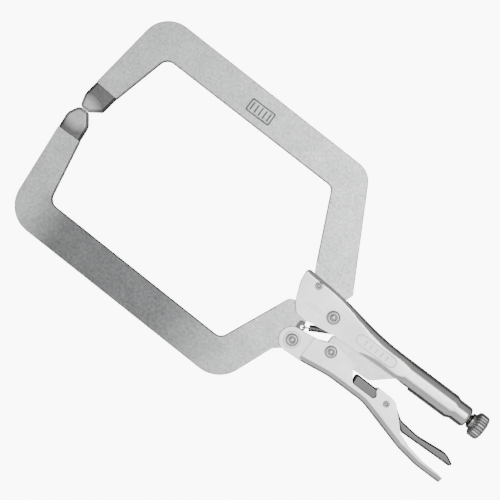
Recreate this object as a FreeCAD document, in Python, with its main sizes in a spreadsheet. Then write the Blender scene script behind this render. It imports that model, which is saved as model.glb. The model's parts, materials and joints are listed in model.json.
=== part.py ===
import FreeCAD, Part
import math
import os
import re
import Sketcher

# Long-reach locking C-clamp. It lies flat: the two bent arms are in one level plane, the fixed
# handle points along +X and the throat opens towards -X. Every sub-part is drawn about the
# axis of the jaw pivot, at the middle of the bars' thickness, and its Placement then moves it
# to the frame's origin: the middle of the assembly's footprint, at its lowest point.

# Driving dimensions, millimetres.
SIZES = {
    # arms
    "bar_thickness": 9.5,
    "tang_thickness": 9.2,
    "bar_edge_chamfer": 0.7,
    "tip_edge_chamfer": 2.2,
    "upper_bevel_start": 30.0,
    "lower_bevel_start": 1.0,
    "tang_reach": 31.0,
    "stamp_depth": 0.5,
    "stamp_length": 25.0,
    "stamp_width": 12.5,
    "stamp_rim": 1.3,
    "stamp_corner": 1.5,
    "stamp_x": -157.5,
    "stamp_y": 105.3,
    "stamp_bar_length": 8.0,
    "stamp_bar_width": 1.4,
    "stamp_bar_pitch": 4.4,
    # the linkage: jaw pivot at 0, 0, then lever pivot, link pivot and release pivot
    "lever_pivot_x": -17.3,
    "lever_pivot_y": -36.8,
    "link_pivot_x": 16.0,
    "link_pivot_y": -25.0,
    "release_pivot_x": 81.5,
    "release_pivot_y": -32.5,
    "link_nose_x": 86.0,
    "arm_rivet_x": -26.5,
    "arm_rivet_y": 14.5,
    # round bosses
    "arm_hub_radius": 8.5,
    "arm_ear_radius": 10.5,
    "lever_ear_radius": 11.3,
    "link_eye_radius": 7.0,
    "link_nose_radius": 4.5,
    # rivets
    "pivot_shank_radius": 4.0,
    "small_shank_radius": 2.2,
    "pivot_head_radius": 6.0,
    "lever_head_radius": 5.5,
    "small_head_radius": 3.3,
    "release_head_radius": 2.9,
    "pivot_head_height": 2.0,
    "small_head_height": 1.2,
    "running_clearance": 0.05,
    "press_allowance": 0.02,
    "pivot_grip": 7.32,
    "arm_rivet_grip": 7.48,
    "lever_grip": 7.8,
    "wide_grip": 8.42,
    # fixed handle
    "cheek_gap": 9.7,
    "sheet": 2.4,
    "channel_start": -46.0,
    "shoulder_end": 133.0,
    "collar_end": 147.0,
    "nut_start": 128.0,
    "nut_end": 142.0,
    "nut_radius": 7.05,
    "tube_bore_overlap": 127.0,
    "nut_seat_overlap": 141.0,
    "screw_hole_radius": 5.5,
    "collar_rounding": 3.6,
    "tab_root": 13.0,
    "arm_slot_end": 1.5,
    "link_slot_start": 30.0,
    "tube_inside_start": 60.0,
    "link_slot_end": 90.0,
    "link_slot_width": 10.6,
    "dimple_x": -19.5,
    "dimple_y": -3.0,
    "dimple_length": 16.0,
    "dimple_width": 3.2,
    "dimple_depth": 0.5,
    "badge_x": 47.0,
    "badge_y": -0.8,
    "badge_length": 42.0,
    "badge_width": 10.4,
    "badge_rim": 1.2,
    "badge_corner": 5.1,
    "badge_bar_length": 4.6,
    "badge_bar_width": 1.5,
    "badge_bar_pitch": 5.6,
    "badge_lift": 8.0,
    "badge_tilt": -1.84,
    "badge_depth": 1.5,
    "tab_x": 28.0,
    "tab_y": 1.9,
    "tab_width": 5.0,
    "tab_thickness": 1.8,
    "tab_hole_radius": 1.5,
    # spring
    "spring_ear_x": -16.5,
    "spring_ear_y": -23.0,
    "spring_ear_radius": 3.2,
    "wire_radius": 0.65,
    "coil_radius": 2.55,
    "coil_pitch": 1.2,
    "coil_turns": 33,
    "hook_wire_radius": 0.6,
    "hook_lap": 0.5,
    "hook_sweep": 250.0,
    # lower handle
    "lever_gap": 9.7,
    "lever_sheet": 2.0,
    "lever_wide_gap": 12.4,
    "lever_wide_sheet": 2.2,
    "joggle_end": -0.3,
    "ear_bridge_top": -23.5,
    "ear_bridge_bottom": -47.5,
    "ear_gap_front": -40.0,
    "ear_gap_bottom": -60.0,
    "ear_gap_top": -10.0,
    "run_reach": 1.1,
    "lever_back_radius": 5.4,
    # where the jaw pivot stands in the frame, worked out from the assembly's box
    "frame_x": 0.0,
    "frame_y": 0.0,
    "frame_z": 0.0,
    # small parts
    "washer_radius": 7.3,
    "washer_inner": 6.87,
    "washer_outer": 7.78,
    "link_washer_radius": 6.4,
    "link_washer_inner": 4.6,
    "link_washer_outer": 6.18,
    "link_thickness": 9.0,
    "release_width": 11.9,
    "release_sheet": 1.2,
    "release_edge_radius": 2.0,
    # screw
    "screw_radius": 5.0,
    "screw_start": 99.0,
    "cap_start": 93.0,
    "cap_radius": 5.6,
    "cap_socket_depth": 3.0,
    "cap_stub_radius": 2.6,
    "cap_lap": 0.2,
    "knob_seat_radius": 3.5,
    "knob_seat_end": 160.0,
    "knob_start": 149.2,
    "knob_hub_radius": 7.2,
    "knob_rim_start": 152.6,
    "knob_end": 163.3,
    "knob_radius": 11.6,
    "knob_dish_radius": 6.5,
    "knob_dish_depth": 1.0,
    "flute_count": 22,
    "flute_radius": 0.8,
}

# Outlines in the level plane: corner name, x, y and the radius that rounds the corner.
UPPER_ARM = [
    ("tip_outer", -287.4, 40.9, 0), ("elbow_outer", -276.3, 126.3, 26), ("knee_outer", -50.4, 120.7, 20),
    ("tang_right", -0.6, 31.0, 0), ("tang_left", -40.6, 31.0, 0), ("knee_inner", -68.8, 90.5, 7),
    ("elbow_inner", -250.7, 94.0, 9), ("tip_inner", -264.6, 39.4, 0),
]
UPPER_TANG = [
    ("right", -0.6, 31.0, 0), ("heel", 2.6, 25.6, 2.5), ("slot", 0.4, 19.5, 3), ("hub_side", 0.4, 10.5, 0.5),
    ("toe", -33.0, -4.7, 1), ("front", -35.2, 20.6, 4), ("left", -40.6, 31.0, 0),
    ("inside_left", -36.0, 40.0, 0), ("inside_right", -12.0, 40.0, 0),
]
UPPER_TIP = [
    ("outer", -287.4, 40.9, 0), ("shoulder", -289.5, 27.0, 10), ("nose_outer", -286.3, 15.5, 4),
    ("nose_inner", -277.6, 15.5, 3), ("bevel", -267.2, 22.6, 2.6), ("inner", -264.6, 39.4, 0),
]
LOWER_ARM = [
    ("tip_outer", -291.0, -9.8, 0), ("elbow_outer", -283.3, -98.6, 28), ("knee_outer", -47.0, -105.4, 29),
    ("tang_right", -30.9, -64.5, 0), ("tang_left", -45.3, -21.0, 0), ("knee_inner", -68.0, -73.0, 8),
    ("elbow_inner", -257.8, -67.4, 9), ("tip_inner", -268.3, -9.3, 0),
]
LOWER_TANG = [
    ("left", -45.3, -21.0, 0), ("shoulder", -40.6, -9.9, 7), ("hub_top", -3.51, 7.74, 0),
    ("hub_bottom", 2.2, -8.21, 0), ("notch", -17.8, -13.6, 2.5), ("ear_top", -13.0, -27.2, 0),
    ("ear_bottom", -19.0, -47.1, 0), ("throat", -26.4, -53.0, 6), ("right", -30.9, -64.5, 0),
    ("inside_right", -37.0, -60.0, 0), ("inside_left", -46.0, -33.0, 0),
]
LOWER_TIP = [
    ("outer", -291.0, -9.8, 0), ("shoulder", -292.2, 5.0, 10), ("nose_outer", -286.6, 15.35, 5),
    ("nose_inner", -277.2, 15.35, 3), ("bevel", -269.6, 5.0, 7), ("inner", -268.3, -9.3, 0),
]
# What the press trims off the front and the underside of the fixed handle's channel.
CHANNEL_TRIM = [
    ("top_front", -55.0, 30.0, 0), ("roof", -34.0, 24.2, 0), ("nose", -42.7, 20.4, 3.5),
    ("front", -41.7, 9.0, 30), ("chin", -34.0, -9.2, 14), ("foot", -27.8, -15.9, 7),
    ("under", -19.0, -16.5, 12), ("waist", 10.0, -12.0, 60), ("back", 56.0, -10.3, 80),
    ("end", 80.02, -10.1, 0), ("below", 80.02, -40.0, 0), ("far", -55.0, -40.0, 0),
]
LOWER_HANDLE = [
    ("front_top", -2.5, -23.7, 0), ("brow", 2.0, -23.0, 6), ("crest", 16.0, -17.2, 10),
    ("slope", 37.0, -20.6, 9), ("dip", 47.0, -35.6, 4), ("sill", 74.0, -35.9, 3),
    ("release_front", 65.6, -25.4, 2), ("release_back", 87.0, -25.6, 9), ("saddle", 106.5, -45.4, 6),
    ("grip_top", 122.0, -51.0, 30), ("tail_top", 140.0, -54.2, 30), ("tail_end", 158.6, -54.9, 0),
    ("tail_heel", 158.6, -60.2, 0), ("tail_bottom", 134.0, -60.2, 60), ("grip_bottom", 112.0, -57.0, 60),
    ("belly", 64.0, -43.7, 40), ("waist", 27.0, -43.6, 60), ("front", -2.5, -47.8, 0),
]
LOWER_HANDLE_HOLLOW = [
    ("front_top", -0.3, -10.0, 0), ("front_bottom", -0.3, -45.2, 0), ("waist", 27.0, -41.4, 62),
    ("belly", 64.3, -41.5, 38), ("grip", 112.4, -54.8, 58), ("tail", 134.2, -58.0, 58),
    ("tail_end", 170.0, -58.0, 0), ("far_top", 170.0, -10.0, 0),
]
TOGGLE_LINK = [
    ("stop", 9.5, -13.2, 2), ("eye_left", 9.0, -25.0, 0), ("eye_bottom", 16.0, -32.0, 0),
    ("belly", 43.0, -25.7, 12), ("heel", 57.5, -25.4, 5), ("throat", 77.5, -8.0, 8),
    ("nose_bottom", 86.0, -4.5, 0), ("nose_top", 86.0, 4.5, 0), ("back", 58.0, 4.5, 20),
    ("spring_side", 29.0, -3.9, 10),
]
RELEASE_LEVER = [
    ("nose_top", 45.3, -26.4, 3.0), ("hump", 88.0, -27.4, 10), ("neck_top", 101.0, -36.2, 12),
    ("waist_top", 121.0, -38.4, 40), ("tail_top", 150.0, -35.6, 12), ("tip_top", 160.2, -40.6, 1.5),
    ("tip_bottom", 157.0, -43.6, 1.5), ("tail_bottom", 140.0, -43.9, 40), ("neck_bottom", 106.5, -44.8, 5),
    ("belly_back", 98.0, -38.9, 5), ("belly", 72.0, -38.6, 6), ("nose_bottom", 46.8, -38.0, 3.0),
]
# Its nose is forked: two side plates pass the link on each side, and the web starts behind it.
RELEASE_HOLLOW = [
    ("fork_bottom", 40.0, -60.0, 0), ("fork_top", 40.0, -20.0, 0), ("web_top", 65.0, -20.0, 0),
    ("web", 65.0, -29.5, 1), ("hump", 87.4, -29.3, 8), ("neck", 100.4, -38.1, 14),
    ("waist", 121.0, -40.3, 38), ("tail", 149.2, -37.6, 10), ("tip", 157.2, -41.2, 0),
    ("end", 157.2, -60.0, 0),
]
OUTLINES = {
    "upper_arm": UPPER_ARM, "upper_tang": UPPER_TANG, "upper_tip": UPPER_TIP,
    "lower_arm": LOWER_ARM, "lower_tang": LOWER_TANG, "lower_tip": LOWER_TIP,
    "channel_trim": CHANNEL_TRIM, "lower_handle": LOWER_HANDLE, "lever_hollow": LOWER_HANDLE_HOLLOW,
    "toggle_link": TOGGLE_LINK, "release_lever": RELEASE_LEVER,
    "release_hollow": RELEASE_HOLLOW,
}

# Cross-sections of the fixed handle's channel: x, half width, top, top corner radius, bottom,
# bottom corner radius. Towards the tube the lower edges curl in under the link.
CHANNEL_SECTIONS = [
    ("front", -46.0, 7.25, 23.0, 4.0, -26.0, 2.2), ("arm", -12.0, 7.25, 20.4, 4.3, -26.0, 2.4),
    ("pivot", 6.0, 7.3, 18.3, 5.0, -26.0, 2.6), ("blend", 24.0, 7.8, 15.4, 6.8, -20.0, 4.5),
    ("waist", 48.0, 8.8, 12.2, 8.0, -13.4, 7.0), ("tube", 80.0, 9.5, 11.2, 9.0, -12.0, 9.0),
]
# Cross-sections of its closed tube: x, half width, top, bottom, corner radius.
TUBE_SECTIONS = [
    ("tube", 78.0, 9.5, 11.2, -12.0, 9.3), ("shoulder", 129.0, 9.5, 11.0, -11.8, 9.3),
    ("collar", 133.0, 9.2, 9.5, -9.9, 9.0),
]

# How much of the wall a pressed corner loses on its inside radius.
CORNER_SHARE = 0.8

sheet = None
doc = None


def cell(text):
    """The expression with each alias of the sheet written as a reference to its cell."""
    return re.sub(r"[a-z][a-z_0-9]*", lambda word: "Sheet." + word.group(0), str(text))


def fill_sheet():
    """One row per driving dimension: its name, and its value under that name as alias."""
    values = dict(SIZES)
    for name, corners in OUTLINES.items():
        for corner, x, y, radius in corners:
            values[name + "_" + corner + "_x"] = x
            values[name + "_" + corner + "_y"] = y
            if radius:
                values[name + "_" + corner + "_radius"] = radius
    for name, x, half_width, top, radius, bottom, curl in CHANNEL_SECTIONS:
        for key, value in (("x", x), ("half_width", half_width), ("top", top), ("radius", radius),
                           ("bottom", bottom), ("curl", curl)):
            values["channel_" + name + "_" + key] = value
    for name, x, half_width, top, bottom, radius in TUBE_SECTIONS:
        for key, value in (("x", x), ("half_width", half_width), ("top", top), ("bottom", bottom),
                           ("radius", radius)):
            values["tube_" + name + "_" + key] = value
    for row, (name, value) in enumerate(values.items(), start=1):
        sheet.set("A%d" % row, name)
        sheet.set("B%d" % row, str(value))
        sheet.setAlias("B%d" % row, name)
    doc.recompute()


def new_body(name):
    return doc.addObject("PartDesign::Body", name)


def new_sketch(body, name, role="XY_Plane", offset=None, tilt=None):
    """A sketch on one of the body's own origin planes, raised off it and tilted about its own Y."""
    sketch = body.newObject("Sketcher::SketchObject", name)
    plane = [item for item in body.Origin.OriginFeatures if item.Role == role][0]
    sketch.AttachmentSupport = [(plane, "")]
    sketch.MapMode = "FlatFace"
    if tilt is not None:
        turn = FreeCAD.Rotation(FreeCAD.Vector(0, 1, 0), SIZES[tilt])
        sketch.AttachmentOffset = FreeCAD.Placement(FreeCAD.Vector(0, 0, 0), turn)
    if offset is not None:
        sketch.setExpression("AttachmentOffset.Base.z", cell(offset))
    return sketch


def fix_point(sketch, geometry, position, label, x, y):
    """Two dimensions from the sketch's origin to a point, bound to the sheet."""
    at = sketch.addConstraint(Sketcher.Constraint("DistanceX", -1, 1, geometry, position, x[0]))
    sketch.renameConstraint(at, label + "_x")
    sketch.setExpression("Constraints." + label + "_x", cell(x[1]))
    at = sketch.addConstraint(Sketcher.Constraint("DistanceY", -1, 1, geometry, position, y[0]))
    sketch.renameConstraint(at, label + "_y")
    sketch.setExpression("Constraints." + label + "_y", cell(y[1]))


def fix_radius(sketch, geometry, label, radius):
    at = sketch.addConstraint(Sketcher.Constraint("Radius", geometry, radius[0]))
    sketch.renameConstraint(at, label)
    sketch.setExpression("Constraints." + label, cell(radius[1]))


def draw_corners(sketch, corners):
    """A closed outline through corners, each (label, (x, expression), (y, expression),
    (radius, expression) or None): straight edges, and a tangent arc at each rounded corner."""
    count = len(corners)
    points = [FreeCAD.Vector(x[0], y[0], 0) for _, x, y, _ in corners]
    starts, ends, arcs = [], [], []
    for i, (_, _, _, radius) in enumerate(corners):
        before = (points[i - 1] - points[i]).normalize()
        after = (points[(i + 1) % count] - points[i]).normalize()
        if not radius:
            starts.append(points[i])
            ends.append(points[i])
            arcs.append(None)
            continue
        half_angle = before.getAngle(after) / 2
        tangent = radius[0] / math.tan(half_angle)
        middle = (before + after).normalize() * (radius[0] / math.sin(half_angle))
        first, last = points[i] + before * tangent, points[i] + after * tangent
        turn = before.cross(after).z
        ends.append(first)
        starts.append(last)
        arcs.append((points[i] + middle, first, last, turn))
    edges = []
    for i in range(count):
        line = Part.LineSegment(starts[i], ends[(i + 1) % count])
        edges.append(sketch.addGeometry(line, False))
    for i, (label, x, y, radius) in enumerate(corners):
        edge_in, edge_out = edges[i - 1], edges[i]
        if arcs[i] is None:
            sketch.addConstraint(Sketcher.Constraint("Coincident", edge_in, 2, edge_out, 1))
            fix_point(sketch, edge_out, 1, label, x, y)
            continue
        centre, first, last, turn = arcs[i]
        begin, end = (last, first) if turn > 0 else (first, last)
        angles = [math.atan2(p.y - centre.y, p.x - centre.x) for p in (begin, end)]
        circle = Part.Circle(centre, FreeCAD.Vector(0, 0, 1), radius[0])
        arc = sketch.addGeometry(Part.ArcOfCircle(circle, angles[0], angles[1]), False)
        corner = sketch.addGeometry(Part.Point(points[i]), True)
        at_in, at_out = (2, 1) if turn > 0 else (1, 2)
        sketch.addConstraint(Sketcher.Constraint("Tangent", edge_in, 2, arc, at_in))
        sketch.addConstraint(Sketcher.Constraint("Tangent", edge_out, 1, arc, at_out))
        sketch.addConstraint(Sketcher.Constraint("PointOnObject", corner, 1, edge_in))
        sketch.addConstraint(Sketcher.Constraint("PointOnObject", corner, 1, edge_out))
        fix_point(sketch, corner, 1, label, x, y)
        fix_radius(sketch, arc, label + "_radius", radius)


def outline_sketch(body, outline, name=None):
    """A sketch of one of the named outlines."""
    sketch = new_sketch(body, name or outline + "_outline")
    corners = []
    for corner, x, y, radius in OUTLINES[outline]:
        cell_name = outline + "_" + corner
        rounding = (radius, cell_name + "_radius") if radius else None
        corners.append((corner, (x, cell_name + "_x"), (y, cell_name + "_y"), rounding))
    draw_corners(sketch, corners)
    return sketch


def circle_sketch(body, name, x, y, radius, role="XY_Plane", offset=None):
    """A circle: x, y and radius are each (value, expression)."""
    sketch = new_sketch(body, name, role, offset)
    centre = FreeCAD.Vector(x[0], y[0], 0)
    circle = sketch.addGeometry(Part.Circle(centre, FreeCAD.Vector(0, 0, 1), radius[0]), False)
    fix_point(sketch, circle, 3, "centre", x, y)
    fix_radius(sketch, circle, "radius", radius)
    return sketch


def size(name):
    """A cell's value with the expression that reads it."""
    return (SIZES[name], name)


def plus(first, second, sign=1):
    """The sum of two sizes, each (value, expression)."""
    text = "%s %s %s" % (first[1], "+" if sign > 0 else "-", second[1])
    return (first[0] + sign * second[0], "(" + text + ")")


def scaled(value, factor):
    return (value[0] * factor, "(%s * %s)" % (value[1], factor))


def number(value):
    return (value, str(value))


def box_corners(x0, x1, y0, y1, radius=None):
    """The four corners of a rectangle, each bound to the sheet."""
    return [("low_left", x0, y0, radius), ("low_right", x1, y0, radius),
            ("high_right", x1, y1, radius), ("high_left", x0, y1, radius)]


def box_sketch(body, name, x0, x1, y0, y1, radius=None, role="XY_Plane", offset=None):
    sketch = new_sketch(body, name, role, offset)
    draw_corners(sketch, box_corners(x0, x1, y0, y1, radius))
    return sketch


def pad(body, sketch, thickness):
    """Material to both sides of the sketch."""
    feature = body.newObject("PartDesign::Pad", sketch.Name + "_pad")
    feature.Profile = sketch
    feature.SideType = "Symmetric"
    feature.setExpression("Length", cell(thickness))
    doc.recompute()
    return feature


def pocket(body, sketch, depth, symmetric=True, reverse=False):
    """Material removed, checked by volume."""
    before = body.Shape.Volume
    feature = body.newObject("PartDesign::Pocket", sketch.Name + "_pocket")
    feature.Profile = sketch
    feature.SideType = "Symmetric" if symmetric else "One side"
    feature.Reversed = reverse
    feature.setExpression("Length", cell(depth))
    doc.recompute()
    if body.Shape.Volume >= before - 1e-6:
        raise RuntimeError(sketch.Name + " cuts nothing")
    return feature


def edges_where(feature, test):
    """Names of the feature's edges whose two ends and middle all pass the test."""
    found = []
    for index, edge in enumerate(feature.Shape.Edges, start=1):
        span = edge.ParameterRange
        middle = edge.valueAt((span[0] + span[1]) / 2)
        points = [vertex.Point for vertex in edge.Vertexes] + [middle]
        if all(test(point) for point in points):
            found.append("Edge%d" % index)
    return found


def dress(body, kind, feature, edges, expression):
    """A chamfer or a fillet on the named edges."""
    if not edges:
        raise RuntimeError("no edges for " + kind + " on " + feature.Name)
    result = body.newObject("PartDesign::" + kind, feature.Name + "_" + kind.lower())
    result.Base = (feature, edges)
    result.setExpression("Size" if kind == "Chamfer" else "Radius", cell(expression))
    doc.recompute()
    return result


def chamfer_faces(body, feature, keep=lambda point: True):
    """Chamfers the outline of both flat sides of a bar."""
    half = SIZES["bar_thickness"] / 2
    edges = edges_where(feature, lambda p: abs(abs(p.z) - half) < 1e-4 and keep(p))
    return dress(body, "Chamfer", feature, edges, "bar_edge_chamfer")


def bore(body, x, y, radius, name):
    """A hole straight through along Z."""
    return pocket(body, circle_sketch(body, name, x, y, radius), "3 * cheek_gap")


def running(radius):
    """The hole that a shank turns in."""
    return plus(size(radius), size("running_clearance"))


def press(radius):
    """The hole that a shank is riveted or pressed into."""
    return plus(size(radius), size("press_allowance"))


def place(part, x="0", y="0"):
    """Binds a sub-part's Placement to its own offset plus the frame's."""
    part.setExpression("Placement.Base.x", cell(x + " + frame_x"))
    part.setExpression("Placement.Base.y", cell(y + " + frame_y"))
    part.setExpression("Placement.Base.z", cell("frame_z"))
    return part


def upper_arm():
    body = new_body("upper_arm")
    bar = pad(body, outline_sketch(body, "upper_arm"), "bar_thickness")
    joint = SIZES["tang_reach"]
    chamfer_faces(body, bar, lambda p: p.y > joint + 0.01 and not is_on_tip_line(p, UPPER_ARM))
    pad(body, outline_sketch(body, "upper_tang"), "tang_thickness")
    bore(body, size("arm_rivet_x"), size("arm_rivet_y"), press("small_shank_radius"), "rivet_hole")
    stamp(body, "stamp", "bar_thickness / 2", "stamp_depth")
    return place(body)


def is_on_tip_line(point, outline):
    """Whether a point lies on the butt joint between an arm and its tip."""
    first, last = outline[0], outline[-1]
    direction = FreeCAD.Vector(last[1] - first[1], last[2] - first[2], 0).normalize()
    offset = FreeCAD.Vector(point.x - first[1], point.y - first[2], 0)
    return abs(offset.cross(direction).z) < 1e-3


def stamp(body, name, face, depth, tilt=None):
    """A sunk outline with five short bars inside it; its sizes are the cells under its name."""
    x, y, rim = size(name + "_x"), size(name + "_y"), size(name + "_rim")
    half_length, half_width = scaled(size(name + "_length"), 0.5), scaled(size(name + "_width"), 0.5)
    left, right = plus(x, half_length, -1), plus(x, half_length)
    low, high = plus(y, half_width, -1), plus(y, half_width)
    corner = size(name + "_corner")
    groove = new_sketch(body, name + "_groove", offset=face, tilt=tilt)
    draw_corners(groove, box_corners(left, right, low, high, corner))
    inner = box_corners(plus(left, rim), plus(right, rim, -1), plus(low, rim), plus(high, rim, -1),
                        scaled(corner, 0.7))
    draw_corners(groove, [("inner_" + label, cx, cy, rounding) for label, cx, cy, rounding in inner])
    pocket(body, groove, depth, symmetric=False)
    bar_x, bar_y = scaled(size(name + "_bar_width"), 0.5), scaled(size(name + "_bar_length"), 0.5)
    bars = new_sketch(body, name + "_bars", offset=face, tilt=tilt)
    for step in (-2, -1, 0, 1, 2):
        middle = plus(x, scaled(size(name + "_bar_pitch"), step))
        corners = box_corners(plus(middle, bar_x, -1), plus(middle, bar_x),
                              plus(y, bar_y, -1), plus(y, bar_y))
        draw_corners(bars, [("bar_%d_%s" % (step + 2, label), cx, cy, rounding)
                            for label, cx, cy, rounding in corners])
    pocket(body, bars, depth, symmetric=False)


def jaw_tip(name, outline, is_free):
    """A nose piece as thick as the bar, bevelled all round its free end."""
    body = new_body(name)
    blank = pad(body, outline_sketch(body, outline), "bar_thickness")
    half = SIZES["bar_thickness"] / 2
    joint = OUTLINES[outline]
    free_end = edges_where(blank, lambda p: abs(abs(p.z) - half) < 1e-4 and is_free(p.y)
                           and not is_on_tip_line(p, joint))
    dress(body, "Chamfer", blank, free_end, "tip_edge_chamfer")
    return place(body)


def upper_jaw_tip():
    return jaw_tip("upper_jaw_tip", "upper_tip", lambda y: y < SIZES["upper_bevel_start"])


def lower_jaw_tip():
    return jaw_tip("lower_jaw_tip", "lower_tip", lambda y: y > SIZES["lower_bevel_start"])


def lower_arm():
    body = new_body("lower_arm")
    bar = pad(body, outline_sketch(body, "lower_arm"), "bar_thickness")
    right, left = LOWER_ARM[3], LOWER_ARM[4]
    tang_line = FreeCAD.Vector(left[1] - right[1], left[2] - right[2], 0).normalize()

    def outside_tang(point):
        offset = FreeCAD.Vector(point.x - right[1], point.y - right[2], 0)
        return abs(offset.cross(tang_line).z) > 1e-3

    chamfer_faces(body, bar, lambda p: outside_tang(p) and not is_on_tip_line(p, LOWER_ARM))
    pad(body, outline_sketch(body, "lower_tang"), "tang_thickness")
    centre = (0.0, "0")
    lever = (size("lever_pivot_x"), size("lever_pivot_y"))
    pad(body, circle_sketch(body, "hub", centre, centre, size("arm_hub_radius")), "tang_thickness")
    pad(body, circle_sketch(body, "lever_ear", lever[0], lever[1], size("arm_ear_radius")), "tang_thickness")
    spring_ear(body)
    bore(body, centre, centre, running("pivot_shank_radius"), "jaw_pivot_bore")
    bore(body, lever[0], lever[1], running("pivot_shank_radius"), "lever_pivot_bore")
    bore(body, size("spring_ear_x"), size("spring_ear_y"), size("tab_hole_radius"), "spring_hole")
    return place(body)


def spring_ear(body):
    """The thinned edge of the tang that the spring's hook goes through."""
    x, y, radius = size("spring_ear_x"), size("spring_ear_y"), size("spring_ear_radius")
    reach = scaled(radius, 1.6)
    side = "tang_thickness / 2"
    for name, flip in (("upper", 1), ("under", -1)):
        offset = side if flip > 0 else "-(" + side + ")"
        relief = box_sketch(body, "spring_relief_" + name, plus(x, reach, -1), plus(x, reach),
                            plus(y, reach, -1), plus(y, reach), scaled(radius, 0.8), offset=offset)
        pocket(body, relief, "(tang_thickness - tab_thickness) / 2", symmetric=False, reverse=flip < 0)
    pad(body, circle_sketch(body, "spring_lug", x, y, radius), "tab_thickness")


def channel_sketch(body, name, section, inset=0.0):
    """A rounded section of the fixed handle's channel, across X, less that share of its wall."""
    label, x, half_width, top, radius, bottom, curl = section
    cell_name = "channel_" + label + "_"
    # Sketch X is the frame's Y, and sketch Y is the frame's Z, on the YZ plane.
    wall, corner_wall = scaled(size("sheet"), inset), scaled(size("sheet"), inset * CORNER_SHARE)
    half = plus((half_width, cell_name + "half_width"), wall, -1)
    roof, floor = plus((top, cell_name + "top"), wall, -1), plus((bottom, cell_name + "bottom"), wall)
    rounding = plus((radius, cell_name + "radius"), corner_wall, -1)
    curled = (curl, cell_name + "curl")
    if curl > SIZES["sheet"]:
        curled = plus(curled, corner_wall, -1)
    sketch = new_sketch(body, name, "YZ_Plane", cell_name + "x")
    low = scaled(half, -1)
    draw_corners(sketch, [("low_left", floor, low, curled), ("low_right", roof, low, rounding),
                          ("high_right", roof, half, rounding), ("high_left", floor, half, curled)])
    return sketch


def loft(body, kind, name, sketches, ruled=False):
    """A lofted solid added or taken away; a hollow is checked by the volume it must take."""
    feature = body.newObject("PartDesign::" + kind, name)
    feature.Profile = sketches[0]
    feature.Sections = sketches[1:]
    feature.Ruled = ruled
    hollow = kind == "SubtractiveLoft"
    before = body.Shape.Volume if hollow else 0.0
    doc.recompute()
    if hollow and body.Shape.Volume >= before - 1e-6:
        raise RuntimeError(name + " cuts nothing")
    return feature


def tube_sketch(body, name, section):
    label, x, half_width, top, bottom, radius = section
    cell_name = "tube_" + label + "_"
    half = (half_width, cell_name + "half_width")
    roof, floor = (top, cell_name + "top"), (bottom, cell_name + "bottom")
    sketch = new_sketch(body, name, "YZ_Plane", cell_name + "x")
    draw_corners(sketch, box_corners(floor, roof, scaled(half, -1), half, (radius, cell_name + "radius")))
    return sketch


def fixed_handle():
    body = new_body("fixed_handle")
    outer = [channel_sketch(body, "outer_" + item[0], item) for item in CHANNEL_SECTIONS]
    loft(body, "AdditiveLoft", "channel", outer)
    tube = [tube_sketch(body, "tube_" + item[0], item) for item in TUBE_SECTIONS]
    loft(body, "AdditiveLoft", "tube", tube, ruled=True)
    collar(body)
    inner = [channel_sketch(body, "inner_" + item[0], item, 1.0) for item in CHANNEL_SECTIONS]
    loft(body, "SubtractiveLoft", "channel_hollow", inner)
    pocket(body, outline_sketch(body, "channel_trim"), "4 * cheek_gap")
    tube_bore(body)
    slots(body)
    spring_tab(body)
    bore(body, number(0.0), number(0.0), press("pivot_shank_radius"), "jaw_pivot_hole")
    bore(body, size("arm_rivet_x"), size("arm_rivet_y"), press("small_shank_radius"), "arm_rivet_hole")
    dimple(body)
    stamp(body, "badge", "badge_lift", "badge_depth", "badge_tilt")
    return place(body)


def pad_along_x(body, sketch, length):
    feature = body.newObject("PartDesign::Pad", sketch.Name + "_pad")
    feature.Profile = sketch
    feature.setExpression("Length", cell(length))
    doc.recompute()
    return feature


def collar(body):
    """The necked end of the tube, rounded over towards the screw."""
    half_width, top, bottom, radius = TUBE_SECTIONS[-1][2:]
    sketch = new_sketch(body, "collar_outline", "YZ_Plane", "tube_collar_x")
    half = (half_width, "tube_collar_half_width")
    draw_corners(sketch, box_corners((bottom, "tube_collar_bottom"), (top, "tube_collar_top"),
                                     scaled(half, -1), half, (radius, "tube_collar_radius")))
    neck = pad_along_x(body, sketch, "collar_end - shoulder_end")
    end = SIZES["collar_end"]
    dress(body, "Fillet", neck, edges_where(neck, lambda p: abs(p.x - end) < 1e-4), "collar_rounding")


def bore_along_x(body, name, start, end, radius):
    """A round hole along the screw's axis."""
    centre = number(0.0)
    sketch = circle_sketch(body, name, centre, centre, size(radius), "YZ_Plane", start)
    return pocket(body, sketch, "%s - %s" % (end, start), symmetric=False, reverse=True)


def tube_bore(body):
    """The tube's inside, then the seat of the nut and the hole that the screw leaves by."""
    half_width, top, bottom, radius = TUBE_SECTIONS[0][2:]
    wall = size("sheet")
    sketch = new_sketch(body, "tube_inside", "YZ_Plane", "tube_inside_start")
    half = plus((half_width, "tube_tube_half_width"), wall, -1)
    floor, roof = plus((bottom, "tube_tube_bottom"), wall), plus((top, "tube_tube_top"), wall, -1)
    rounding = plus((radius, "tube_tube_radius"), wall, -1)
    draw_corners(sketch, box_corners(floor, roof, scaled(half, -1), half, rounding))
    pocket(body, sketch, "nut_start - tube_inside_start", symmetric=False, reverse=True)
    bore_along_x(body, "nut_seat", "tube_bore_overlap", "nut_end", "nut_radius")
    bore_along_x(body, "screw_hole", "nut_seat_overlap", "collar_end + 1", "screw_hole_radius")


def slots(body):
    """The gap in the channel's back for the arm, and the one in its belly for the link."""
    half = scaled(size("cheek_gap"), 0.5)
    arm_slot = box_sketch(body, "arm_slot", size("channel_start"), size("arm_slot_end"), number(-1.0),
                          number(40.0), number(2.0))
    pocket(body, arm_slot, "cheek_gap")
    link_slot = box_sketch(body, "link_slot", size("link_slot_start"), size("link_slot_end"), number(-20.0),
                           number(-6.0), number(1.5))
    pocket(body, link_slot, "link_slot_width")


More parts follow.
